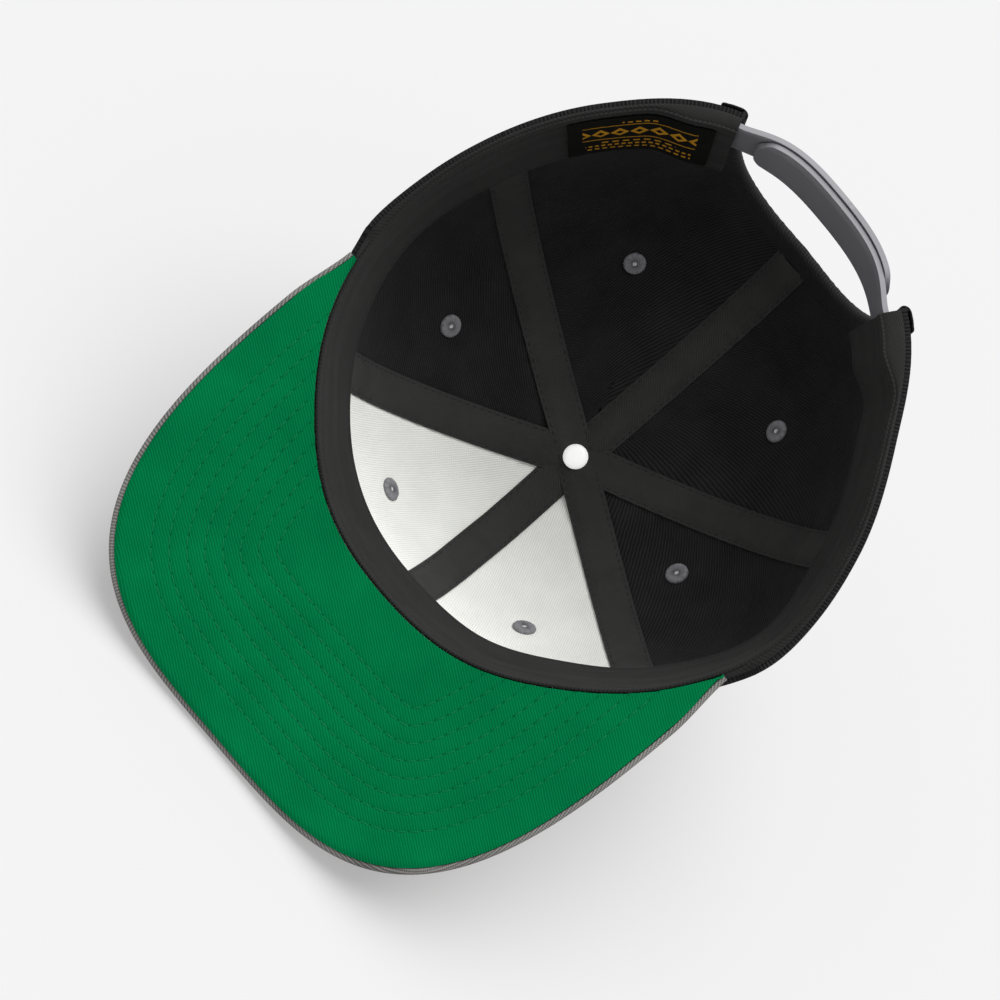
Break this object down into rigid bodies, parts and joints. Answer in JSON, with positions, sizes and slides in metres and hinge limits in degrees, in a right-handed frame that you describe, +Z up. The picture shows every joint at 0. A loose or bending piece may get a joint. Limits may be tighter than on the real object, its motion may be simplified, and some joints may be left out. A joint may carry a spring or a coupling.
{
  "type": "snapback cap",
  "caption": "Structured baseball cap with a flat green-lined brim, sweatband, seam tapes, eyelets and a plastic snap strap, lying on its crown.",
  "frame": {"origin": "centre of the bounding box's base, on the surface that the cap lies on", "axes": "+Z up, away from the surface; -Y towards the brim's front edge; +X towards the wearer's right, the cap being turned over"},
  "size_m": [0.1906, 0.2404, 0.1771],
  "materials": {
    "black_twill": "matt black cotton twill",
    "buckram": "stiff white open weave",
    "seam_tape": "matt black woven tape",
    "sweatband": "charcoal twill band",
    "label": "black woven label",
    "grey_twill": "grey cotton twill",
    "green_twill": "green cotton twill",
    "strap_plastic": "semi-matt grey soft plastic",
    "rivet": "smooth off-white enamel",
    "eyelet_thread": "grey embroidery thread"
  },
  "bodies": {
    "root": {"panel_front_left": "black_twill", "panel_front_right": "black_twill", "panel_side_left": "black_twill", "panel_side_right": "black_twill", "panel_back_left": "black_twill", "panel_back_right": "black_twill", "buckram_left": "buckram", "buckram_right": "buckram", "tape_cross": "seam_tape", "tape_front": "seam_tape", "tape_left": "seam_tape", "tape_right": "seam_tape", "tape_back": "seam_tape", "arch_binding": "seam_tape", "sweatband": "sweatband", "label": "label", "brim_top": "grey_twill", "top_button": "grey_twill", "brim_under": "green_twill", "strap_outer": "strap_plastic", "strap_inner": "strap_plastic", "rivet": "rivet", "eyelet_front_left": "eyelet_thread", "eyelet_front_right": "eyelet_thread", "eyelet_side_left": "eyelet_thread", "eyelet_side_right": "eyelet_thread", "eyelet_back_left": "eyelet_thread", "eyelet_back_right": "eyelet_thread"}
  },
  "joints": []
}
